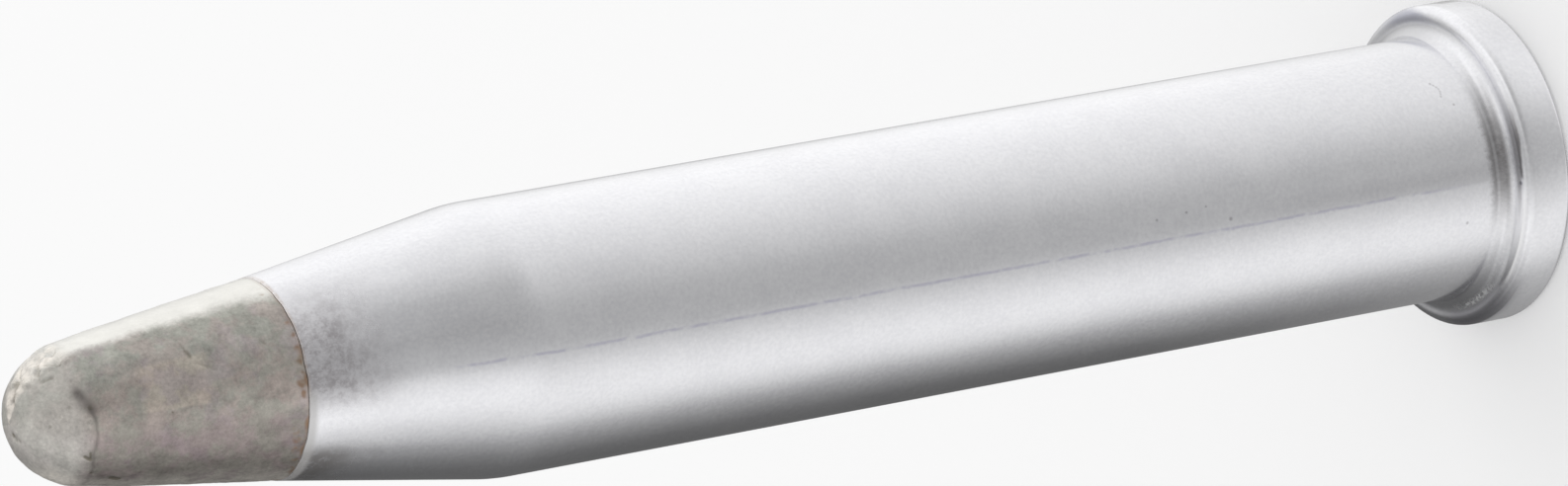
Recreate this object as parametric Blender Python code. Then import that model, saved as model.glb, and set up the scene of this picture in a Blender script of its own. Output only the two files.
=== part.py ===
"""Soldering iron tip: one bar of copper, turned, bored from the rear, plated and tinned.

It stands on its collar, with the axis along +Z and the origin in the middle of the rear face.
Metres throughout.
"""

from math import atan2, cos, hypot, pi, radians, sin, tan

import bmesh
import bpy

MM = 0.001

# Shank: the straight barrel that the heater slides into
SHANK_RADIUS = 3.25 * MM
SHANK_LENGTH = 27.15 * MM  # from the collar's front face to where the taper starts
SHOULDER_BLEND = 4.3 * MM  # radius of the turned blend between shank and taper

# Collar: the lip at the rear that the retaining nut pulls against
COLLAR_LIP = 0.75 * MM  # how far it stands out from the shank
COLLAR_THICKNESS = 1.3 * MM
COLLAR_REAR_EDGE = 0.15 * MM
COLLAR_FRONT_EDGE = 0.28 * MM
COLLAR_FILLET = 0.43 * MM  # hollow turned between the collar's front face and the shank

# Taper: plated down to the tin line, tinned beyond it
PLATED_TAPER_LENGTH = 5.45 * MM
TIN_LINE_RADIUS = 2.365 * MM
TINNED_TAPER_LENGTH = 5.13 * MM

# Nose: a dome that meets the taper in a soft crease
NOSE_EDGE_RADIUS = 1.66 * MM
NOSE_HEIGHT = 1.28 * MM
NOSE_CREASE_BLEND = 0.8 * MM

# Heater bore: blind, with the point that the drill leaves
BORE_WALL = 0.65 * MM
BORE_SETBACK = 1.45 * MM  # from the end of the straight bore to the start of the taper
BORE_MOUTH_CHAMFER = 0.3 * MM
DRILL_POINT_ANGLE = radians(118)

# Facets
AROUND = 72
EDGE_STEPS = 4
FILLET_STEPS = 6
NOSE_STEPS = 9
SAME_POINT = 0.0001 * MM


def rounded(before, corner, after, radius, steps):
    """The points of an arc of this radius that rounds a corner of the profile."""
    back = (before[0] - corner[0], before[1] - corner[1])
    ahead = (after[0] - corner[0], after[1] - corner[1])
    back_angle = atan2(back[1], back[0])
    turn = (atan2(ahead[1], ahead[0]) - back_angle) % (2 * pi)
    if turn > pi:
        turn -= 2 * pi
    half = abs(turn) / 2
    cut = min(radius / tan(half), 0.98 * hypot(*back), 0.49 * hypot(*ahead))
    radius = cut * tan(half)
    reach = radius / sin(half)
    middle = back_angle + turn / 2
    centre = (corner[0] + reach * cos(middle), corner[1] + reach * sin(middle))
    first = (corner[0] + cut * cos(back_angle), corner[1] + cut * sin(back_angle))
    start = atan2(first[1] - centre[1], first[0] - centre[0])
    sweep = -(pi - 2 * half) if turn > 0 else pi - 2 * half
    points = []
    for step in range(steps + 1):
        angle = start + sweep * step / steps
        points.append((centre[0] + radius * cos(angle), centre[1] + radius * sin(angle)))
    return points


def heater_bore(shoulder):
    """The bore from the drill's point down to its chamfered mouth, as (radius, height)."""
    radius = SHANK_RADIUS - BORE_WALL
    end = shoulder - BORE_SETBACK
    return [
        (0, end + radius / tan(DRILL_POINT_ANGLE / 2)),
        (radius, end),
        (radius, BORE_MOUTH_CHAMFER),
        (radius + BORE_MOUTH_CHAMFER, 0),
    ]


def collar(mouth, shoulder):
    """The rear face, the rim with its two edges, and the fillet onto the shank."""
    radius = SHANK_RADIUS + COLLAR_LIP
    rear = (radius, 0)
    front = (radius, COLLAR_THICKNESS)
    root = (SHANK_RADIUS, COLLAR_THICKNESS)
    points = rounded(mouth, rear, front, COLLAR_REAR_EDGE, EDGE_STEPS)
    points += rounded(points[-1], front, root, COLLAR_FRONT_EDGE, EDGE_STEPS)
    return points + rounded(points[-1], root, shoulder, COLLAR_FILLET, FILLET_STEPS)


def dome(height):
    """The nose from its crease to its crown, an arc whose base stands at this height."""
    radius = (NOSE_EDGE_RADIUS**2 + NOSE_HEIGHT**2) / (2 * NOSE_HEIGHT)
    centre = height + NOSE_HEIGHT - radius
    base_angle = atan2(height - centre, NOSE_EDGE_RADIUS)
    points = []
    for step in range(NOSE_STEPS + 1):
        angle = base_angle + (pi / 2 - base_angle) * step / NOSE_STEPS
        points.append((radius * cos(angle), centre + radius * sin(angle)))
    points[-1] = (0, height + NOSE_HEIGHT)
    return points


def tip_profile():
    """The half section, from the inside end of the bore round to the crown of the nose."""
    shoulder_height = COLLAR_THICKNESS + SHANK_LENGTH
    tin_line_height = shoulder_height + PLATED_TAPER_LENGTH
    shoulder = (SHANK_RADIUS, shoulder_height)
    tin_line = (TIN_LINE_RADIUS, tin_line_height)
    nose = dome(tin_line_height + TINNED_TAPER_LENGTH)
    bore = heater_bore(shoulder_height)
    rim = collar(bore[-1], shoulder)
    points = bore + rim
    points += rounded(rim[-1], shoulder, tin_line, SHOULDER_BLEND, EDGE_STEPS)
    points.append(tin_line)
    points += rounded(tin_line, nose[0], nose[1], NOSE_CREASE_BLEND, EDGE_STEPS)
    return points + nose[1:], tin_line_height


def turned_mesh(name, profile):
    """One closed skin of revolution about Z."""
    work = bmesh.new()
    ring = [work.verts.new((radius, 0, height)) for radius, height in profile]
    edges = [work.edges.new(pair) for pair in zip(ring, ring[1:])]
    bmesh.ops.spin(
        work,
        geom=ring + edges,
        cent=(0, 0, 0),
        axis=(0, 0, 1),
        angle=2 * pi,
        steps=AROUND,
        use_merge=True,
    )
    bmesh.ops.remove_doubles(work, verts=work.verts, dist=SAME_POINT)
    bmesh.ops.recalc_face_normals(work, faces=work.faces)
    mesh = bpy.data.meshes.new(name)
    work.to_mesh(mesh)
    work.free()
    return mesh


def metal(name, colour, roughness):
    material = bpy.data.materials.new(name)
    material.use_nodes = True
    shader = material.node_tree.nodes["Principled BSDF"]
    shader.inputs["Base Color"].default_value = (*colour, 1)
    shader.inputs["Metallic"].default_value = 1
    shader.inputs["Roughness"].default_value = roughness
    return material


def tip_body():
    """The whole tip, with its working end in tin and the rest in plate."""
    profile, tin_line_height = tip_profile()
    mesh = turned_mesh("tip_body", profile)
    mesh.materials.append(metal("satin plate", (0.62, 0.62, 0.65), 0.3))
    mesh.materials.append(metal("tinned end", (0.42, 0.38, 0.34), 0.45))
    for face in mesh.polygons:
        face.material_index = int(face.center.z > tin_line_height)
    mesh.shade_smooth()
    mesh.set_sharp_from_angle(angle=radians(30))
    body = bpy.data.objects.new("tip_body", mesh)
    bpy.context.collection.objects.link(body)


for leftover in list(bpy.context.scene.objects):
    bpy.data.objects.remove(leftover, do_unlink=True)

tip_body()
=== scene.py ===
"""A used soldering iron tip, finished and lit for its photograph.

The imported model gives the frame: the axis is +Z and the rear face stands on z = 0. Meshes are in
metres; finishes and the marks on the tin are in millimetres. Azimuths are in degrees round the axis,
0 facing -Y and growing towards +X.
"""

from math import asin, atan2, cos, degrees, exp, hypot, pi, radians, sin, tan

import bmesh
import bpy
from mathutils import Matrix, Vector, noise


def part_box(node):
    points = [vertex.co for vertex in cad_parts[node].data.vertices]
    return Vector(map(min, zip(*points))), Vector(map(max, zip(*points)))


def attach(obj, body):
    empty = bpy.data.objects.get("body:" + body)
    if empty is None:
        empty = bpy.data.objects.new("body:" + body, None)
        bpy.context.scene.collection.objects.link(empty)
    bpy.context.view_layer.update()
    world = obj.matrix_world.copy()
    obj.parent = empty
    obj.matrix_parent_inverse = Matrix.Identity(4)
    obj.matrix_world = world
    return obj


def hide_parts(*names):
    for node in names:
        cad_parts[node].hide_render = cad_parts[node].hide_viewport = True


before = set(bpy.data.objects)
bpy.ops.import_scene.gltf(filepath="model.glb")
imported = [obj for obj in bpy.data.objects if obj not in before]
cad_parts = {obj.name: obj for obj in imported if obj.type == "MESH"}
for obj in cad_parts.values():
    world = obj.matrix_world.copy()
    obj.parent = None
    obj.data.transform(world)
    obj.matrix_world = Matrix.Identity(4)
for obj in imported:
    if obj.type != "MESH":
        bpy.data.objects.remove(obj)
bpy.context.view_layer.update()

# The turned body
# One bar of copper, turned on a lathe and bored from the rear for the heater, then iron clad and
# plated. It slides over the heater and is pulled back by its collar.

MM = 0.001
COLLAR_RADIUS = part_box("tip_body")[1].x
TIP_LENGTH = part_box("tip_body")[1].z

SHANK_RADIUS = 3.25 * MM
COLLAR_THICKNESS = 1.3 * MM
COLLAR_REAR_EDGE = 0.15 * MM
COLLAR_FRONT_EDGE = 0.28 * MM
COLLAR_FILLET = 0.43 * MM  # hollow between the collar's front face and the shank
SHOULDER_HEIGHT = 28.45 * MM
SHOULDER_BEVEL = 0.35 * MM
TAPER_ANGLE = radians(9.2)
TIN_LINE_HEIGHT = 33.9 * MM
TIN_LINE_RADIUS = 2.365 * MM
BORE_RADIUS = 2.6 * MM
BORE_END = 27.0 * MM
DRILL_POINT = 28.56 * MM
BORE_CHAMFER = 0.3 * MM
NOSE_EDGE_HEIGHT = 39.03 * MM
NOSE_EDGE_RADIUS = 1.66 * MM
PLATE_LIP = 0.025 * MM  # rolled edge of the plate where the tin starts
LIP_ROUNDING = 0.3 * PLATE_LIP
UNDER_TIN = 0.18 * MM  # how deep the bar lies under the solder
UNDER_TIN_RUN = 0.04 * MM  # how far along the axis it drops to that
CORE_DOME_RISE = 1.22 * MM  # height of the dome under the solder
BODY_FACETS = 192


class Lathe:
    """A round piece drawn out ring by ring along Z, as it is turned."""

    SAME_RING = 0.002 * MM
    SAME_POINT = 0.0001 * MM
    SHARP_EDGE = radians(40)

    def __init__(self, name, radius, height, around):
        bpy.ops.object.select_all(action="DESELECT")
        bpy.ops.mesh.primitive_circle_add(vertices=around, radius=radius, location=(0, 0, height))
        bpy.ops.object.transform_apply(location=True, rotation=False, scale=False)
        self.piece = bpy.context.object
        self.piece.name = self.piece.data.name = name
        self.radius, self.height = radius, height
        bpy.ops.object.mode_set(mode="EDIT")
        bpy.ops.mesh.select_mode(type="EDGE")
        bpy.ops.mesh.select_all(action="SELECT")

    def to(self, *rings):
        """Extrudes the ring in hand to each radius and height in turn."""
        for radius, height in rings:
            bpy.ops.mesh.extrude_edges_move(
                TRANSFORM_OT_translate={"value": (0, 0, height - self.height)}
            )
            grow = radius / self.radius
            bpy.ops.transform.resize(value=(grow, grow, 1), center_override=(0, 0, height))
            self.radius, self.height = radius, height

    def point(self, height):
        """Closes the ring in hand to a point on the axis."""
        bpy.ops.mesh.extrude_edges_move(
            TRANSFORM_OT_translate={"value": (0, 0, height - self.height)}
        )
        bpy.ops.mesh.merge(type="CENTER")

    def grip(self, radius, height):
        """Takes the ring at this place in hand again."""
        bpy.ops.mesh.select_all(action="DESELECT")
        work = bmesh.from_edit_mesh(self.piece.data)
        for edge in work.edges:
            edge.select_set(all(self.near(vert.co, radius, height) for vert in edge.verts))
        work.select_flush_mode()
        bmesh.update_edit_mesh(self.piece.data)
        self.radius, self.height = radius, height

    def near(self, place, radius, height):
        return abs(hypot(place.x, place.y) - radius) + abs(place.z - height) < self.SAME_RING

    def ease(self, radius, height, offset, segments):
        """Rounds the corner at this ring."""
        self.grip(radius, height)
        bpy.ops.mesh.bevel(offset=offset, offset_type="OFFSET", segments=segments, affect="EDGES")

    def off(self):
        """Takes the finished piece off the lathe, smooth, closed and facing outwards."""
        bpy.ops.mesh.select_all(action="SELECT")
        bpy.ops.mesh.remove_doubles(threshold=self.SAME_POINT)
        bpy.ops.mesh.normals_make_consistent(inside=False)
        bpy.ops.object.mode_set(mode="OBJECT")
        bpy.ops.object.shade_smooth_by_angle(angle=self.SHARP_EDGE)
        return self.piece


def tin_line_wander(azimuth):
    """How far the tin line strays along the axis, as it was dipped by hand."""
    turn = radians(azimuth)
    place = Vector((cos(turn), sin(turn), 0))
    return 0.05 * MM * noise.noise(place * 1.3) + 0.02 * MM * noise.noise(place * 6)


def dome(radius, edge_height, rise, rings):
    """The rings of a domed end over an edge of this radius."""
    ball = (radius**2 + rise**2) / (2 * rise)
    centre = edge_height + rise - ball
    start = asin((edge_height - centre) / ball)
    places = []
    for step in range(1, rings):
        angle = start + (pi / 2 - start) * step / rings
        places.append((ball * cos(angle), centre + ball * sin(angle)))
    return places


body = Lathe("plated_body", BORE_RADIUS, BORE_END, BODY_FACETS)
body.point(DRILL_POINT)
body.grip(BORE_RADIUS, BORE_END)
core_edge_radius = NOSE_EDGE_RADIUS - UNDER_TIN
core_edge_height = NOSE_EDGE_HEIGHT - UNDER_TIN
body.to(
    (BORE_RADIUS, BORE_CHAMFER),
    (BORE_RADIUS + BORE_CHAMFER, 0),
    (COLLAR_RADIUS, 0),
    (COLLAR_RADIUS, COLLAR_THICKNESS),
    (SHANK_RADIUS, COLLAR_THICKNESS),
    (SHANK_RADIUS, SHOULDER_HEIGHT),
    (TIN_LINE_RADIUS + PLATE_LIP * tan(TAPER_ANGLE), TIN_LINE_HEIGHT - PLATE_LIP),
    (TIN_LINE_RADIUS - LIP_ROUNDING, TIN_LINE_HEIGHT - LIP_ROUNDING),
    (TIN_LINE_RADIUS - PLATE_LIP, TIN_LINE_HEIGHT),
    (TIN_LINE_RADIUS - UNDER_TIN, TIN_LINE_HEIGHT + UNDER_TIN_RUN),
    (core_edge_radius, core_edge_height),
)
body.to(*dome(core_edge_radius, core_edge_height, CORE_DOME_RISE, rings=8))
body.point(core_edge_height + CORE_DOME_RISE)
body.ease(COLLAR_RADIUS, 0, COLLAR_REAR_EDGE, segments=4)
body.ease(COLLAR_RADIUS, COLLAR_THICKNESS, COLLAR_FRONT_EDGE, segments=10)
body.ease(SHANK_RADIUS, COLLAR_THICKNESS, COLLAR_FILLET, segments=16)
body.ease(SHANK_RADIUS, SHOULDER_HEIGHT, SHOULDER_BEVEL, segments=6)
plated_body = body.off()

for vert in plated_body.data.vertices:
    azimuth = degrees(atan2(vert.co.x, -vert.co.y))
    if abs(vert.co.z - TIN_LINE_HEIGHT) < 2 * PLATE_LIP:
        vert.co.z += tin_line_wander(azimuth)


class Value:
    """A shader socket used as a value, so that arithmetic on it adds the nodes."""

    def __init__(self, nodes, socket):
        self.nodes, self.socket = nodes, socket

    def maths(self, operation, *others):
        return self.nodes.node(
            "ShaderNodeMath", {"operation": operation}, dict(enumerate((self, *others)))
        )

    def __add__(self, other):
        return self.maths("ADD", other)

    def __sub__(self, other):
        return self.maths("SUBTRACT", other)

    def __rsub__(self, other):
        return self * -1 + other

    def __mul__(self, other):
        return self.maths("MULTIPLY", other)

    def __truediv__(self, other):
        return self.maths("DIVIDE", other)

    __radd__ = __add__
    __rmul__ = __mul__

    def between(self, low, high):
        """0 below low, 1 above high and smooth between them; the other way round if low is higher."""
        settings = {"interpolation_type": "SMOOTHSTEP"}
        sockets = {"Value": self, "From Min": low, "From Max": high}
        if low > high:
            sockets.update({"From Min": high, "From Max": low, "To Min": 1.0, "To Max": 0.0})
        return self.nodes.node("ShaderNodeMapRange", settings, sockets)

    def within(self, start, full, fading, end):
        """0 up to start, 1 from full to fading, and 0 again from end."""
        return self.between(start, full) * self.between(end, fading)

    def blend(self, first, second):
        """The first colour where this value is 0, the second where it is 1."""
        return self.nodes.node(
            "ShaderNodeMix", {"data_type": "RGBA"}, {0: self, 6: first, 7: second}, 2
        )


class Nodes:
    """A tree of shader nodes in the making."""

    def __init__(self, tree):
        self.tree = tree

    def feed(self, socket, value):
        """Links a Value to a socket, or sets a plain value on it."""
        if isinstance(value, Value):
            self.tree.links.new(value.socket, socket)
        elif isinstance(value, tuple) and len(value) == 3 and socket.type == "RGBA":
            socket.default_value = (*value, 1)
        else:
            socket.default_value = value

    def node(self, kind, settings, sockets, output=0):
        """Adds a node: its settings first, then what its sockets hold or are linked to."""
        made = self.tree.nodes.new(kind)
        for name, value in settings.items():
            if name == "stops":
                self.set_stops(made.color_ramp.elements, value)
            else:
                setattr(made, name, value)
        for name, value in sockets.items():
            self.feed(made.inputs[name], value)
        return Value(self, made.outputs[output])

    @staticmethod
    def set_stops(elements, stops):
        """Sets a ramp to these positions and grey tones, the first at 0 and the last at 1."""
        elements[-1].position = 1
        for position, tone in stops[1:-1]:
            elements.new(position).color = (tone, tone, tone, 1)
        for end in (0, -1):
            tone = stops[end][1]
            elements[end].color = (tone, tone, tone, 1)


class Finish(Nodes):
    """A material in the making, on the Principled shader, with sizes in millimetres."""

    def __init__(self, name):
        self.material = bpy.data.materials.new(name)
        self.material.use_nodes = True
        super().__init__(self.material.node_tree)
        self.shader = self.tree.nodes["Principled BSDF"]
        self.place = self.node("ShaderNodeTexCoord", {}, {}, "Object")

    def set(self, name, value):
        self.feed(self.shader.inputs[name], value)

    def along(self, axis):
        """How far along this axis."""
        return self.node("ShaderNodeSeparateXYZ", {}, {0: self.place}, axis) / MM

    def radius(self):
        """How far from the tip's axis."""
        across, deep = self.along("X"), self.along("Y")
        return (across * across + deep * deep).maths("SQRT")

    def turn(self):
        """Degrees round the axis, 0 facing -Y and growing towards +X."""
        return self.along("X").maths("ARCTAN2", self.along("Y") * -1) * (180 / pi)

    def bump(self, height, depth):
        """Fine relief of this depth."""
        sockets = {"Height": height, "Distance": depth * MM, "Strength": 1.0}
        self.set("Normal", self.node("ShaderNodeBump", {}, sockets))

    def stretched(self, x, y, z):
        return self.node("ShaderNodeMapping", {}, {"Vector": self.place, "Scale": (x, y, z)})

    def cloud(self, size, detail, rough, place=None, seed=0.0):
        """Noise whose lumps are about this size."""
        settings = {"noise_dimensions": "4D"}
        sockets = {
            "Vector": place or self.place,
            "Scale": 1 / (size * MM),
            "Detail": detail,
            "Roughness": rough,
            "W": seed,
        }
        return self.node("ShaderNodeTexNoise", settings, sockets)

    def spot(self, azimuth, height, radius, size):
        """1 at a place on the surface, falling to 0 at this distance from it."""
        turn = radians(azimuth)
        centre = (radius * MM * sin(turn), -radius * MM * cos(turn), height * MM)
        away = self.node(
            "ShaderNodeVectorMath", {"operation": "DISTANCE"}, {0: self.place, 1: centre}, "Value"
        )
        return (away / MM).between(size, 0.3 * size)

    def covered(self, colour, marks):
        """The colour under these marks, each a mask and the colour that it lays on."""
        for mask, laid in marks:
            colour = mask.blend(colour, laid)
        return colour


# Satin plate: bright and faintly blue, with turning marks and a fine grain under the shine
SATIN = (0.71, 0.71, 0.735)
BRIGHT_SATIN = (0.795, 0.795, 0.815)
SMUDGE_GREY = (0.29, 0.27, 0.28)
SOOT_BROWN = (0.24, 0.22, 0.21)
PAINTED_REFLECTION_VIOLET = (0.42, 0.41, 0.56)
SPECK_GREY = (0.3, 0.29, 0.3)
PAINTED_HIGHLIGHT_PLATE = (0.96, 0.96, 0.97)
BURNT_FLUX_AND_SHADE = (0.16, 0.15, 0.15)
BURNT_DOT = (0.17, 0.165, 0.2)
FACE_SHADE_GREY = (0.44, 0.44, 0.45)
HAZE_GREY = (0.36, 0.355, 0.37)
PAINTED_BLUE_REFLECTION = (0.2, 0.21, 0.3)
PAINTED_SHADE_VIOLET = (0.29, 0.28, 0.32)
WORN_STREAK_HIGHLIGHT = (0.93, 0.93, 0.93)
PAINTED_RIM_REFLECTION = (0.2, 0.2, 0.2)
LIP_BROWN = (0.45, 0.36, 0.29)
LIP_PALE = (0.6, 0.59, 0.58)
BORE_SCALE = (0.3, 0.25, 0.22)
PALE_BORE_SCALE = (0.42, 0.38, 0.36)

plate = Finish("satin plate")
up, radius, turn = plate.along("Z"), plate.radius(), plate.turn()
grain = plate.cloud(0.1, 4.0, 0.7)
turning = plate.cloud(0.05, 2.0, 0.5, plate.stretched(0.025, 0.025, 1))
patches = plate.cloud(1.6, 5.0, 0.65, seed=3.0)
shade = (grain * 0.6 + turning * 0.05 + patches * 0.35).between(0.36, 0.64)

# flux smoke near the tin: a grey smudge on the near side and soot underneath
smudge = plate.cloud(0.24, 6.0, 0.8, seed=1.0)
near_tin = up + (plate.cloud(1.3, 3.0, 0.5, seed=12.0) - 0.5) * 2.5
smudged = near_tin.between(30.9, 33.3) * turn.within(-30, -9, 14, 62)
smudged = smudged * (0.5 + 0.5 * smudge.between(0.4, 0.62))
soot = near_tin.between(31.8, 33.2) * turn.within(-98, -80, -56, -40) * smudge.between(0.28, 0.52)
marks = [(smudged * 0.88, SMUDGE_GREY), (soot * 0.8, SOOT_BROWN)]

# a thin violet line along the shank, broken here and there: a painted reflection of the edge
# between the grey band and the bright band that the shank mirrors
LINE_AZIMUTH = -10
line_azimuth = LINE_AZIMUTH + 1.8 * (plate.cloud(0.7, 5.0, 0.75, seed=5.0) - 0.5)
drawn = (turn - line_azimuth).maths("ABSOLUTE").between(1.1, 0.2)
drawn = drawn * up.within(2, 4, 32, 33.5) * radius.between(2.9, 3)
drawn = drawn * plate.cloud(0.5, 4.0, 0.7, seed=6.0).between(0.34, 0.56)
marks.append((drawn * 0.45, PAINTED_REFLECTION_VIOLET))

# azimuth, height and size of the specks; those from 38.5 to 31 degrees run into one hooked scratch
SPECKS = (
    (-1, 11.45, 0.05), (0, 10.6, 0.05), (1, 10.03, 0.04), (-6, 9.39, 0.07), (-27, 2.53, 0.06),
    (38.5, 2.66, 0.05), (37.3, 2.6, 0.04), (36.1, 2.55, 0.04), (34.9, 2.52, 0.04), (33.6, 2.52, 0.04),
    (32.3, 2.54, 0.04), (31, 2.57, 0.04), (26, 2.33, 0.05),
)
for azimuth, height, size in SPECKS:
    marks.append((plate.spot(azimuth, height, SHANK_RADIUS / MM, size) * 0.55, SPECK_GREY))

# burnt flux at the collar: a hard line inside its front edge that ends in a dot; painted shade in a soft
# band in the hollow where it meets the shank; and a painted highlight of near-white plate beside them
ragged = plate.cloud(0.1, 4.0, 0.7, seed=15.0) - 0.5
combed = plate.cloud(0.1, 4.0, 0.7, plate.stretched(1, 1, 0.3), seed=16.0) - 0.5
ragged_radius, ragged_height = radius + ragged * 0.05, up + combed * 0.35
front = up.within(1.0, 1.1, 1.4, 1.5)
line_edge = 3.86 + turn.between(-6, 8) * 0.06
line = ragged_radius.between(3.72, 3.78) * (ragged_radius - line_edge).between(0, -0.06)
line = line * front * turn.within(-10.5, -8.5, 4, 27)
# painted shade in a soft band in the hollow where the collar meets the shank
shaded_hollow = radius.within(3.0, 3.1, 3.36, 3.5) * ragged_height.between(1.93, 1.68)
shaded_hollow = shaded_hollow * (1 - 0.3 * up.within(1.57, 1.62, 1.64, 1.69)) * turn.within(-40, -4, 0, 44)
shaded_hollow = shaded_hollow * (0.95 + 0.8 * combed)
# a painted highlight: near-white plate on the collar's front face underneath
painted_highlight_face = radius.within(3.55, 3.65, 3.8, 3.9) * up.between(1.1, 1.2) * turn.within(-58, -50, -16, -12)
marks += [
    (painted_highlight_face, PAINTED_HIGHLIGHT_PLATE),
    (line.maths("MAXIMUM", shaded_hollow) * 0.88, BURNT_FLUX_AND_SHADE),
    (plate.spot(-11.5, 1.28, 3.73, 0.08) * 0.8, BURNT_DOT),
]

# colours at the collar: painted shade on its face beside the shank and a painted dark blue reflection on
# its edge at +X, a haze on the shank below the violet line, painted shade on the corner underneath with a
# pale streak of worn plate there painted near white as a highlight, and a painted dark reflection on the
# rim
# painted shade on the face beside the shank at +X
shaded_face = radius.between(3.62, 3.54) * up.within(1.0, 1.1, 1.55, 1.75) * turn.within(50, 84, 118, 135)
hazed = (turn - line_azimuth).between(-1, 1) * turn.between(2, -6) * up.between(11, 4)
hazed = hazed * radius.within(3.0, 3.1, 3.3, 3.45)
# a painted dark blue reflection along the collar's edge at +X
blue_radius = 3.66 + (turn - 74).maths("MAXIMUM", 0) * 0.0085
blue_width = 0.03 + (turn - 62).maths("MAXIMUM", 0) * 0.0065
blue = ((ragged_radius - blue_radius) / blue_width).maths("ABSOLUTE").between(1.3, 0.3)
blue = blue * front * (0.25 + 0.75 * turn.between(66, 88)) * turn.within(20, 34, 96, 116)
# painted shade on the front corner underneath; a pale streak of worn plate there, painted near white as a
# highlight
corner = up.within(0.75, 1.3, 1.4, 1.5) * radius.between(3.54, 3.66) * turn.within(-110, -90, -70, -44)
streak = ragged_radius.within(3.4, 3.48, 3.52, 3.6) * front * turn.within(-96, -82, -72, -58)
streak = streak * ragged.between(-0.08, 0.06)
# a painted dark reflection along the top edge of the rim
rim_dark_reflection = up.within(0.12, 0.25, 0.65, 0.85) * turn.within(77, 81, 96, 104) * radius.between(3.9, 3.95)
marks += [
    (shaded_face * 0.7, FACE_SHADE_GREY),
    (hazed * 0.25, HAZE_GREY),
    (blue * 0.6, PAINTED_BLUE_REFLECTION),
    (corner * 0.6, PAINTED_SHADE_VIOLET),
    (streak * 0.8, WORN_STREAK_HIGHLIGHT),
    (rim_dark_reflection * 0.8, PAINTED_RIM_REFLECTION),
]

# the rolled lip at the tin line, browned in front and pale below, and the scale in the bore
browned_lip = up.between(33.8, 33.88) * smudge.between(0.3, 0.6) * turn.between(-30, -5)
pale_lip = up.between(33.6, 33.78) * turn.within(-110, -84, -16, -8)
in_bore = radius.between(2.97, 2.9) * up.within(0, 0.3, 28.7, 28.8)
bore_patches = plate.cloud(0.6, 5.0, 0.65, seed=9.0).between(0.35, 0.65)
marks += [
    (browned_lip * 0.6, LIP_BROWN),
    (pale_lip * 0.7, LIP_PALE),
    (in_bore, bore_patches.blend(BORE_SCALE, PALE_BORE_SCALE)),
]

plate.set("Base Color", plate.covered(shade.blend(SATIN, BRIGHT_SATIN), marks))
plate.set("Metallic", 1.0)
plate_roughness = 0.17 + 0.08 * grain + 0.04 * patches + 0.2 * smudged + 0.15 * soot
plate_roughness = plate_roughness + 0.25 * in_bore + 0.1 * shaded_hollow + 0.25 * streak + 0.3 * pale_lip
plate.set("Roughness", plate_roughness)
plate.set("Coat Weight", 0.6)
plate.set("Coat IOR", 1.9)
plate.set("Coat Roughness", 0.05)
plate.bump(grain * 0.85 + turning * 0.15, 0.0022)
plated_body.data.materials.append(plate.material)

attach(plated_body, "root")
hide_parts("tip_body")

# The tinned end
# Solder wetted over the iron from the tin line to the nose, the only part that solder takes to. It
# has been used, so it is dull, stained by flux, pitted and lumpy, with a crease round the nose.

TIN_THICKNESS = 0.2 * MM
TIN_EDGE_HEIGHT = TIN_LINE_HEIGHT + 0.01 * MM
TIN_EDGE_RADIUS = TIN_LINE_RADIUS - PLATE_LIP
TIN_FACETS = 320
TIN_RINGS = 140
INSIDE_NOSE = 38.5 * MM  # height of a point that the whole nose faces away from

coat = Lathe("tinned_end", TIN_EDGE_RADIUS, TIN_EDGE_HEIGHT, TIN_FACETS)
coat.to((TIN_LINE_RADIUS - 0.4 * PLATE_LIP, TIN_LINE_HEIGHT + 0.015 * MM))
for step in range(1, TIN_RINGS + 1):
    share = step / TIN_RINGS
    ring_radius = TIN_LINE_RADIUS + (NOSE_EDGE_RADIUS - TIN_LINE_RADIUS) * share
    coat.to((ring_radius, TIN_LINE_HEIGHT + (NOSE_EDGE_HEIGHT - TIN_LINE_HEIGHT) * share))
coat.to(*dome(NOSE_EDGE_RADIUS, NOSE_EDGE_HEIGHT, TIP_LENGTH - NOSE_EDGE_HEIGHT, rings=60))
coat.point(TIP_LENGTH)
coat.grip(TIN_EDGE_RADIUS, TIN_EDGE_HEIGHT)
inner_edge_radius = NOSE_EDGE_RADIUS - TIN_THICKNESS
inner_edge_height = NOSE_EDGE_HEIGHT - TIN_THICKNESS
coat.to(
    (TIN_LINE_RADIUS - TIN_THICKNESS, TIN_LINE_HEIGHT + 0.05 * MM),
    (inner_edge_radius, inner_edge_height),
)
coat.to(*dome(inner_edge_radius, inner_edge_height, CORE_DOME_RISE, rings=6))
coat.point(inner_edge_height + CORE_DOME_RISE)
tinned_end = coat.off()

# azimuth and height of the crease round the nose
CREASE_LINE = (
    (-180, 39.1), (-120, 39.0), (-67, 38.9), (-46, 38.95), (-28, 38.97), (-7, 38.88), (9, 39.08),
    (24, 39.27), (50, 39.45), (64, 39.6), (100, 39.4), (140, 39.2), (180, 39.1),
)
CREASE_WIDTH = 0.045
CREASE_DEPTH = 0.016
SMEAR_WIDTH = 0.13  # what the smeared end of the crease adds to its width and depth
SMEAR_DEPTH = 0.012
# azimuth, height, size, depth and how dark it is
PITS = (
    (6, 39.44, 0.09, 0.02, 0.45), (-1, 39.66, 0.08, 0.02, 0.4), (-10, 39.85, 0.08, 0.02, 0.5),
    (-23, 39.26, 0.08, 0.01, 0.4), (-27, 39.2, 0.06, 0.01, 0.35), (27, 39.24, 0.08, 0.015, 0.4),
    (2, 39.0, 0.12, 0.02, 0.6), (-8, 39.05, 0.07, 0.015, 0.4), (-59, 38.91, 0.08, 0.02, 0.8),
    (-70, 40.27, 0.17, 0.02, 0.5), (-78, 40.29, 0.1, 0.03, 1.0), (-60, 40.24, 0.08, 0.02, 0.6),
    (-11, 37.12, 0.06, 0.015, 0.7), (21, 34.68, 0.09, 0.015, 0.5), (49, 39.3, 0.06, 0.03, 0.8),
)
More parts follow.
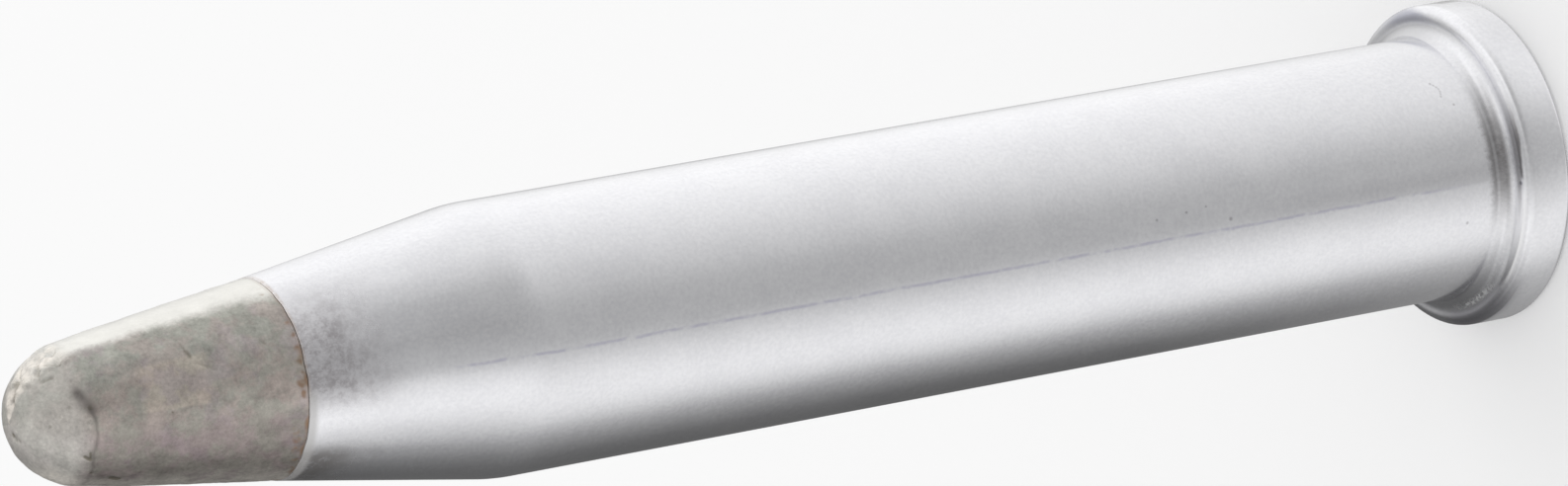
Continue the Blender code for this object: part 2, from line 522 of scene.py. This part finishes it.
# from one azimuth and height to another, width, depth and how dark it is
SCRATCHES = (
    (35, 36.56, 29, 36.5, 0.07, 0.01, 0.4), (28, 36.5, 23, 36.44, 0.1, 0.015, 0.6),
    (18, 36.32, 14, 36.12, 0.08, 0.01, 0.4), (14, 36.12, 11, 35.92, 0.08, 0.01, 0.3),
    (64, 39.62, 54, 39.76, 0.08, 0.03, 0.5), (54, 39.76, 42, 39.78, 0.07, 0.03, 0.4),
    (42, 39.74, 39, 39.56, 0.07, 0.03, 0.5), (79, 40.02, 76, 40.12, 0.09, 0.06, 0.55),
    (76, 40.16, 68, 40.22, 0.06, 0.05, 0.6), (90, 39.8, 84, 39.95, 0.06, 0.04, 0.5),
    (-40, 39.16, -43, 39.02, 0.07, 0.02, 1.0), (-43, 39.02, -36, 39.05, 0.06, 0.015, 0.8),
    (-68, 38.2, -66, 38.36, 0.1, 0.03, 1.6), (58, 39.55, 50, 39.3, 0.06, 0.02, 0.4),
)
# azimuth, height, size and how far it stands out
BUMPS = (
    (49, 39.17, 0.11, 0.05), (82, 40.04, 0.09, 0.05), (64, 40.13, 0.1, 0.05), (50, 39.7, 0.12, 0.04),
    (70, 39.75, 0.14, 0.05), (57, 39.45, 0.14, 0.035),
)
# azimuth, height, size and strength of the brown flux burnt on at the tin line
BURNS = (
    (30, 34.02, 0.14, 0.6), (22, 33.98, 0.12, 0.7), (14, 34.0, 0.12, 0.7), (6, 34.0, 0.13, 0.8),
    (-1, 34.03, 0.14, 0.8), (-6, 34.06, 0.16, 1.0), (-12, 34.0, 0.14, 0.9), (-34, 34.2, 0.16, 0.7),
    (-40, 34.15, 0.16, 0.8), (-47, 34.12, 0.18, 0.8), (-56, 34.05, 0.15, 0.7), (-64, 33.99, 0.14, 0.7),
    (55, 34.15, 0.12, 0.45), (61, 34.09, 0.1, 0.4),
)


def crease_point(azimuth):
    for (left, low), (right, high) in zip(CREASE_LINE, CREASE_LINE[1:]):
        if azimuth <= right:
            return low + (high - low) * (azimuth - left) / (right - left)
    return CREASE_LINE[-1][1]


def crease_height(azimuth):
    """Where the crease runs round the nose, eased between the places above."""
    near = [(azimuth + step + 180) % 360 - 180 for step in range(-15, 16, 5)]
    return sum(crease_point(place) for place in near) / len(near)


def on_tin(azimuth, height):
    """The place on the tin, in metres, at this azimuth and this height in millimetres."""
    level = height * MM
    taper = (NOSE_EDGE_RADIUS - TIN_LINE_RADIUS) / (NOSE_EDGE_HEIGHT - TIN_LINE_HEIGHT)
    ring = TIN_LINE_RADIUS + taper * (level - TIN_LINE_HEIGHT)
    if level > NOSE_EDGE_HEIGHT:
        rise = TIP_LENGTH - NOSE_EDGE_HEIGHT
        ball = (NOSE_EDGE_RADIUS**2 + rise**2) / (2 * rise)
        ring = max(ball**2 - (level - TIP_LENGTH + ball) ** 2, 0) ** 0.5
    turn = radians(azimuth)
    return Vector((ring * sin(turn), -ring * cos(turn), level))


def dent(place, start, end, size):
    """1 on the line between two places on the tin, falling to 0 at about this distance from it."""
    along = end - start
    share = 0 if along.length == 0 else min(max((place - start).dot(along) / along.dot(along), 0), 1)
    away = (place - start - along * share).length / MM
    return exp(-((away / size) ** 2) * 2) if away < 2 * size else 0


def hump(distance, width):
    """1 at no distance, falling away over about this width."""
    return exp(-((distance / width) ** 2))


def smooth(value, low, high):
    """0 below low, 1 above high and smooth between them; the other way round if low is higher."""
    share = min(max((value - low) / (high - low), 0), 1)
    return share * share * (3 - 2 * share)


def band(value, start, full, fading, end):
    """0 up to start, 1 from full to fading, and 0 again from end."""
    return smooth(value, start, full) * smooth(value, end, fading)


def waves(spot):
    """The unevenness of solder that has been wiped and used."""
    wide = 0.022 * noise.noise(spot * 0.9) + 0.011 * noise.noise(spot * 2.3 + Vector((5, 0, 0)))
    return wide + 0.005 * noise.noise(spot * 5.5) + 0.0025 * noise.noise(spot * 13)


def crease(spot, azimuth, height):
    """How deep the crease is here, how high the ridge beside it is, and how dark it is."""
    offset = height - crease_height(azimuth) - 0.05 * noise.noise(spot * 2.5) - 0.03 * noise.noise(spot * 8)
    near_side = band(azimuth, -100, -50, 16, 28)
    strength = 0.15 + 0.85 * near_side * (0.7 + 0.6 * noise.noise(spot * 2.2 + Vector((0, 3, 0))))
    smear = band(azimuth, -8, 4, 14, 26)
    width = CREASE_WIDTH + SMEAR_WIDTH * smear
    depth = hump(offset, width) * (CREASE_DEPTH + SMEAR_DEPTH * smear) * strength
    ridge = 0.004 * hump(offset - 0.17, 0.13)
    return depth, ridge, depth / CREASE_DEPTH * (0.75 + 0.2 * smear)


def seam(spot, azimuth, height, distance):
    """How far into the seam along the taper this is, and into the raised field beside it."""
    strayed = azimuth - LINE_AZIMUTH - 3 * noise.noise(Vector((0, 0, height * 1.6)))
    arc = radians(strayed) * distance / MM + 0.04 * noise.noise(spot * 6)
    line = hump(arc, 0.05) * (0.7 + noise.noise(spot * 3 + Vector((7, 0, 0))))
    field = band(arc, 0, 0.04, 1.05, 1.15) * band(height, 35.8, 36, 37.7, 38)
    return line * band(height, 34.5, 35, 37.8, 38.2), field


def burnt_flux(spot, place, azimuth, height):
    """How brown the solder is at the tin line."""
    patch = max(0.1 + noise.noise(spot * 2.6 + Vector((0, 0, 9))), 0) * smooth(azimuth, 45, 10)
    line_height = 33.93 + tin_line_wander(azimuth) / MM
    brown = smooth(line_height - height, -0.11 - 0.7 * patch, 0) * (0.3 + 1.3 * patch)
    for centre, size, strength in burns:
        brown = max(brown, strength * (0.8 + noise.noise(spot * 9)) * dent(place, centre, centre, size))
    return brown


dents = [(on_tin(turned, level), on_tin(turned, level), *rest) for turned, level, *rest in PITS]
for start_azimuth, start_height, end_azimuth, end_height, *rest in SCRATCHES:
    dents.append((on_tin(start_azimuth, start_height), on_tin(end_azimuth, end_height), *rest))
bumps = [(on_tin(turned, level), size, rise) for turned, level, size, rise in BUMPS]
burns = [(on_tin(turned, level), size, strength) for turned, level, size, strength in BURNS]

# the skin is pushed in and out, and the soil attribute keeps what the finish needs: how creased (red),
# browned (green) and dark (blue) the solder is
soil = tinned_end.data.color_attributes.new("soil", "FLOAT_COLOR", "POINT")
skin = [(vert.co.copy(), vert.normal.copy()) for vert in tinned_end.data.vertices]
for vert, (place, normal) in zip(tinned_end.data.vertices, skin):
    height = place.z / MM
    azimuth = degrees(atan2(place.x, -place.y))
    outward = Vector((place.x, place.y, max(place.z - INSIDE_NOSE, 0)))
    if normal.dot(outward) < 0:
        continue
    if height < 33.912:
        vert.co.z += tin_line_wander(azimuth)
        continue
    spot = place / MM
    depth, ridge, creased = crease(spot, azimuth, height)
    seam_line, field = seam(spot, azimuth, height, hypot(place.x, place.y))
    bead = 0.008 * hump(height - 34.12, 0.1)
    lift = waves(spot) + ridge - depth - 0.003 * seam_line + 0.003 * field + bead
    lift -= 0.055 * hump(height - 39.45, 0.5) + 0.014 * hump(height - 38.75, 0.35)
    lumpy = band(azimuth, 34, 52, 86, 104) * smooth(height, 38.9, 39.2)
    lift += lumpy * (0.06 * noise.noise(spot * 2.6 + Vector((0, 0, 4))) + 0.045 * noise.noise(spot * 5.5))
    dark = 0.0
    for start, end, size, press, stain in dents:
        share = dent(place, start, end, size)
        lift -= press * share
        dark = max(dark, stain * share)
    for centre, size, rise in bumps:
        lift += rise * dent(place, centre, centre, size)
    vert.co += normal * lift * MM * smooth(height, 33.91, 33.97)
    if height < 34.4:
        vert.co.z += tin_line_wander(azimuth) * smooth(height, 34.4, 33.95)
    brown = burnt_flux(spot, place, azimuth, height)
    soil.data[vert.index].color = (min(creased + 0.3 * seam_line, 1), min(brown, 1), min(dark, 1), 1)

# Solder: dull grey where no flux stains it, stained beige and brown by flux elsewhere. Its colour also
# holds painted light and shade: a painted highlight on the wiped flank at +X and the nose's lumps,
# painted shade on the flank towards -X, painted light further round at -X, and the nose painted darker at
# +X and paler at -X
BEIGE_SOLDER = (0.445, 0.43, 0.385)
PINK_SOLDER = (0.485, 0.425, 0.39)
GREEN_SOLDER = (0.4, 0.4, 0.36)
BROWN_SOLDER = (0.43, 0.39, 0.36)
SHADED_SOLDER = (0.325, 0.305, 0.275)
SHADED_PINK_SOLDER = (0.345, 0.295, 0.285)
WARM_STAIN = (0.59, 0.515, 0.44)
NOSE_PAINTED_SHADE = (0.4, 0.39, 0.36)
NOSE_PAINTED_LIGHT = (0.56, 0.545, 0.51)
PAINTED_UNDERSIDE_LIGHT = (0.74, 0.7, 0.64)
PAINTED_HIGHLIGHT_SOLDER = (0.76, 0.75, 0.71)
CREAM_FLUX_HIGHLIGHT = (0.78, 0.72, 0.65)
PURPLE_HEAT = (0.46, 0.405, 0.415)
SHADED_PURPLE_HEAT = (0.33, 0.27, 0.285)
FLECK_BROWN = (0.25, 0.22, 0.205)
CREASE_DARKENING = (0.17, 0.155, 0.145)
BROWN_FLUX = (0.3, 0.19, 0.12)
PIT_DIRT = (0.15, 0.135, 0.1)

tin = Finish("solder tin")
height, turn = tin.along("Z"), tin.turn()
broad = tin.cloud(1.1, 4.0, 0.6)
blotch = tin.cloud(0.5, 6.0, 0.7, seed=2.0)
fine = tin.cloud(0.08, 4.0, 0.7, seed=4.0)
patchy = tin.cloud(0.6, 5.0, 0.65, seed=7.0).between(0.42, 0.58)
soiled = tin.node("ShaderNodeAttribute", {"attribute_name": "soil"}, {}, "Color")
creased, browned, darkened = (
    tin.node("ShaderNodeSeparateColor", {}, {0: soiled}, channel) for channel in ("Red", "Green", "Blue")
)

nose = height.between(38.8, 39.4)
# the wiped flank at +X: smoother solder, painted near white as the highlight along it
wiped = (turn + (blotch - 0.5) * 12 + (broad - 0.5) * 10).within(47, 61, 150, 175)
wiped = wiped * height.between(40.1, 39.8)
lumps = nose * turn.within(36, 50, 95, 110)
# cream flux on the lumps of the nose at +X, painted lighter as their highlights
cream_highlight = nose * turn.within(46, 62, 95, 112) * blotch.between(0.36, 0.56)
# painted shade: the solder and its purple patches are painted darker on the flank towards -X
shaded_lower_side = (turn + (broad - 0.5) * 20).between(-10, -30)
# painted light: paler solder further round at -X, up to the nose's crown
under = (turn + (broad - 0.5) * 20).between(-56, -76) * height.between(40.1, 39.6)
warm = height.within(35.9, 36.3, 37.6, 37.9) * turn.within(-10, -8, 22, 26)
purple = tin.cloud(0.8, 5.0, 0.65, seed=11.0).between(0.52, 0.62) * (1 - wiped) * (1 - nose)
flecks = tin.cloud(0.09, 4.0, 0.7, seed=8.0).between(0.64, 0.72) * (1 - wiped)

front_grey = patchy.blend(BEIGE_SOLDER, PINK_SOLDER)
upper_grey = patchy.blend(GREEN_SOLDER, BROWN_SOLDER)
shaded_lower_grey = patchy.blend(SHADED_SOLDER, SHADED_PINK_SOLDER)
colour = tin.covered(
    shaded_lower_side.blend(turn.between(10, 26).blend(front_grey, upper_grey), shaded_lower_grey),
    (
        (warm * 0.5, WARM_STAIN),
        # the nose's own paler grey, painted darker towards +X as shade and paler towards -X as light
        (nose * 0.7, turn.between(30, -30).blend(NOSE_PAINTED_SHADE, NOSE_PAINTED_LIGHT)),
        (under * 0.85, PAINTED_UNDERSIDE_LIGHT),
        (wiped * (1 - 0.35 * nose), PAINTED_HIGHLIGHT_SOLDER),
        (cream_highlight * 0.6, CREAM_FLUX_HIGHLIGHT),
        (purple * 0.5, shaded_lower_side.blend(PURPLE_HEAT, SHADED_PURPLE_HEAT)),
    ),
)
mottled = 1 + ((blotch - 0.5) * 1.2 + (fine - 0.5) * 0.85) * (1 - 0.75 * wiped * (1 - nose))
colour = tin.node("ShaderNodeVectorMath", {"operation": "SCALE"}, {0: colour, "Scale": mottled})
colour = tin.covered(
    colour,
    (
        (flecks * 0.45, FLECK_BROWN),
        # darker in step with how deep the crease is, and along the seam
        (creased * (0.5 + 0.8 * fine), CREASE_DARKENING),
        (browned.between(0.1, 0.8) * (0.4 + 0.8 * fine), BROWN_FLUX),
        (darkened.between(0.12, 0.85) * 0.8, PIT_DIRT),
    ),
)
tin.set("Base Color", colour)
tin.set("Metallic", 1 - 0.35 * nose)
tin.set("Roughness", 0.48 + 0.14 * (fine - 0.5) - 0.14 * wiped + 0.1 * creased - 0.16 * lumps)
tin.bump(fine * 0.7 + tin.cloud(0.05, 2.0, 0.5) * 0.3, 0.006)
tinned_end.data.materials.append(tin.material)

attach(tinned_end, "root")
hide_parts("tip_body")

# The camera
# It looks down on the part from in front, turned on its side, so that the nose points to the left.
# The lens shift is made by moving the camera, so that the rear of the tip falls where the photo has it.

TILT = radians(29.11)
ROLL = radians(10.12)
LENS = 205.6
DISTANCE = 221.8 * MM
SENSOR = 36.0
PICTURE = (1586, 492)
REAR_CENTRE_PIXEL = (1494.1, 161.1)

towards_camera = Vector((0, -cos(TILT), sin(TILT)))
upwards = Vector((0, sin(TILT), cos(TILT)))
picture_right = -sin(ROLL) * Vector((1, 0, 0)) - cos(ROLL) * upwards
picture_up = cos(ROLL) * Vector((1, 0, 0)) - sin(ROLL) * upwards
pixel = SENSOR / LENS / PICTURE[0]
rear_right = (REAR_CENTRE_PIXEL[0] - PICTURE[0] / 2) * pixel
rear_up = (PICTURE[1] / 2 - REAR_CENTRE_PIXEL[1]) * pixel

bpy.ops.object.camera_add()
camera = bpy.context.object
camera.data.lens = LENS
camera.data.sensor_width = SENSOR
camera.data.clip_start = 0.01
camera.data.clip_end = 10
camera.matrix_world = Matrix((picture_right, picture_up, towards_camera)).transposed().to_4x4()
camera.location = DISTANCE * (towards_camera - rear_right * picture_right - rear_up * picture_up)
bpy.context.scene.camera = camera

# The studio
# A plain pale floor under the part and a white surround, with one large soft lamp from +X. Round the
# part, where only its metal sees it, stands a tent of graduated paper: white at +X, dark before and at -X.

bpy.ops.object.select_all(action="DESELECT")
bpy.ops.mesh.primitive_plane_add(size=3, location=(0, 0, -0.02 * MM))
floor = bpy.context.object
floor.name = "floor"
bpy.ops.object.transform_apply(location=True, rotation=False, scale=False)
floor_paint = Finish("pale floor")
floor_paint.set("Base Color", (0.95, 0.95, 0.95))
floor_paint.set("Roughness", 0.9)
floor_paint.set("Specular IOR Level", 0.0)
floor.data.materials.append(floor_paint.material)
floor.visible_glossy = False
floor.visible_shadow = False

TENT_RADIUS = 120 * MM
TENT_LOW = -260 * MM
TENT_HIGH = 340 * MM

bpy.ops.object.select_all(action="DESELECT")
bpy.ops.mesh.primitive_cylinder_add(
    vertices=180,
    radius=TENT_RADIUS,
    depth=TENT_HIGH - TENT_LOW,
    end_fill_type="NGON",
    location=(0, 0, (TENT_HIGH + TENT_LOW) / 2),
)
tent = bpy.context.object
tent.name = "paper_tent"
bpy.ops.object.transform_apply(location=True, rotation=False, scale=False)

# grey tones of the paper by azimuth, in rings from the lowest to the highest, and the disc at the top
BELOW_TONES = (
    (-180, 0.4), (-165, 0.32), (-140, 0.38), (-120, 0.46), (-100, 0.58), (-74, 0.95), (-50, 1.03),
    (-30, 0.77), (-10, 0.55), (10, 0.58), (30, 0.77), (50, 0.985), (74, 1.04), (100, 0.95),
    (130, 1.0), (160, 0.8), (180, 0.35),
)
LOW_TONES = (
    (-180, 0.35), (-168, 0.13), (-150, 0.12), (-128, 0.145), (-110, 0.26), (-95, 0.44), (-88, 0.6),
    (-80, 0.82), (-70, 0.98), (-60, 1.04), (-50, 1.0), (-40, 0.9), (-26, 0.7), (-18, 0.57), (-15, 0.5),
    (0, 0.5), (14, 0.52), (30, 0.66), (45, 0.78), (60, 0.89), (82, 1.03), (100, 1.13), (128, 1.2),
    (145, 1.1), (158, 0.85), (170, 0.4), (180, 0.35),
)
MID_TONES = (
    (-180, 0.35), (-168, 0.13), (-140, 0.12), (-128, 0.145), (-110, 0.215), (-95, 0.39), (-83, 0.59),
    (-71, 0.84), (-60, 1.01), (-50, 1.09), (-40, 1.05), (-30, 0.93), (-21, 0.63), (-12, 0.54),
    (0, 0.455), (10, 0.425), (20, 0.46), (30, 0.5), (40, 0.53), (50, 0.66), (60, 0.79), (71, 0.9),
    (82, 0.99), (95, 1.06), (110, 1.19), (128, 1.2), (145, 1.08), (158, 0.85), (170, 0.4), (180, 0.35),
)
CARD_TONES = (
    (-180, 0.45), (-165, 0.2), (-150, 0.15), (-130, 0.18), (-110, 0.36), (-90, 0.67), (-70, 1.12),
    (-50, 1.2), (-30, 0.82), (-10, 0.58), (10, 0.62), (30, 0.83), (50, 1.1), (70, 1.2), (130, 1.15),
    (150, 0.85), (170, 0.6), (180, 0.45),
)
HIGH_TONES = (
    (-180, 0.5), (-157, 0.3), (-140, 0.22), (-126, 0.3), (-112, 0.55), (-95, 0.8), (-76, 0.97),
    (-57, 1.02), (-36, 0.8), (-15, 0.5), (10, 0.5), (30, 0.66), (50, 0.9), (75, 1.05), (95, 1.15),
    (118, 1.12), (135, 0.95), (157, 0.85), (180, 0.5),
)
UPPER_TONES = (
    (-180, 0.7), (-157, 0.75), (-135, 0.65), (-118, 0.57), (-105, 0.75), (-90, 0.9), (-60, 1.0),
    (-36, 0.78), (-15, 0.52), (10, 0.52), (30, 0.68), (60, 0.98), (110, 1.1), (157, 1.05), (180, 0.7),
)
TOP_TONES = (
    (-180, 0.8), (-110, 0.95), (-60, 1.0), (-35, 0.7), (-15, 0.5), (15, 0.5), (30, 0.68), (60, 1.0),
    (110, 1.05), (180, 0.8),
)
OVERHEAD_TONE = (0.5, 0.5, 0.5)

paper = Finish("graduated paper")
height, turn = paper.along("Z"), paper.turn()


def ring_of(tones):
    """The paper's grey, by azimuth."""
    stops = [((azimuth + 180) / 360, tone) for azimuth, tone in tones]
    return paper.node("ShaderNodeValToRGB", {"stops": stops}, {0: (turn + 180) / 360})


# each ring of paper gives way to the next between these two heights
tone = ring_of(BELOW_TONES)
for start, end, tones in (
    (-82, -58, LOW_TONES),
    (-38, 4, MID_TONES),
    (40, 66, CARD_TONES),
    (98, 125, HIGH_TONES),
    (122, 146, UPPER_TONES),
    (160, 205, TOP_TONES),
):
    tone = height.between(start, end).blend(tone, ring_of(tones))
tone = (paper.radius().between(75, 40) * height.between(330, 339)).blend(tone, OVERHEAD_TONE)
glow = paper.node("ShaderNodeEmission", {}, {"Color": tone})
paper.feed(paper.tree.nodes["Material Output"].inputs["Surface"], glow)
tent.data.materials.append(paper.material)
tent.visible_camera = False
tent.visible_diffuse = False
tent.visible_shadow = False

SURROUND_LIGHT = 0.94  # what the surround lights the floor with; metal and the camera see it white
world = bpy.data.worlds.new("white surround")
bpy.context.scene.world = world
world.use_nodes = True
surround = Nodes(world.node_tree)
by_camera, by_metal, through_glass = (
    surround.node("ShaderNodeLightPath", {}, {}, ray)
    for ray in ("Is Camera Ray", "Is Glossy Ray", "Is Transmission Ray")
)
seen = by_camera.maths("MAXIMUM", by_metal).maths("MAXIMUM", through_glass)
strength = surround.node("ShaderNodeMapRange", {}, {"Value": seen, "To Min": SURROUND_LIGHT})
background = world.node_tree.nodes["Background"]
surround.feed(background.inputs["Color"], (1, 1, 1))
surround.feed(background.inputs["Strength"], strength)

SOFTBOX_RADIANCE = 0.7
SOFTBOX_SIZE = 0.36
SOFTBOX_DISTANCE = 0.5
SOFTBOX_AZIMUTH = radians(118)
SOFTBOX_ELEVATION = radians(38)
LIT_MIDDLE = Vector((0, 0, 0.03))
bpy.ops.object.light_add(type="AREA")
softbox = bpy.context.object
softbox.data.shape = "SQUARE"
softbox.data.size = SOFTBOX_SIZE
softbox.data.energy = SOFTBOX_RADIANCE * pi * SOFTBOX_SIZE**2
level_aim = Vector((sin(SOFTBOX_AZIMUTH), -cos(SOFTBOX_AZIMUTH), 0))
aim = cos(SOFTBOX_ELEVATION) * level_aim + sin(SOFTBOX_ELEVATION) * Vector((0, 0, 1))
softbox.location = SOFTBOX_DISTANCE * aim + LIT_MIDDLE
softbox.rotation_euler = aim.to_track_quat("Z", "Y").to_euler()
softbox.visible_camera = False
softbox.visible_glossy = False

bpy.context.scene.view_settings.view_transform = "Standard"
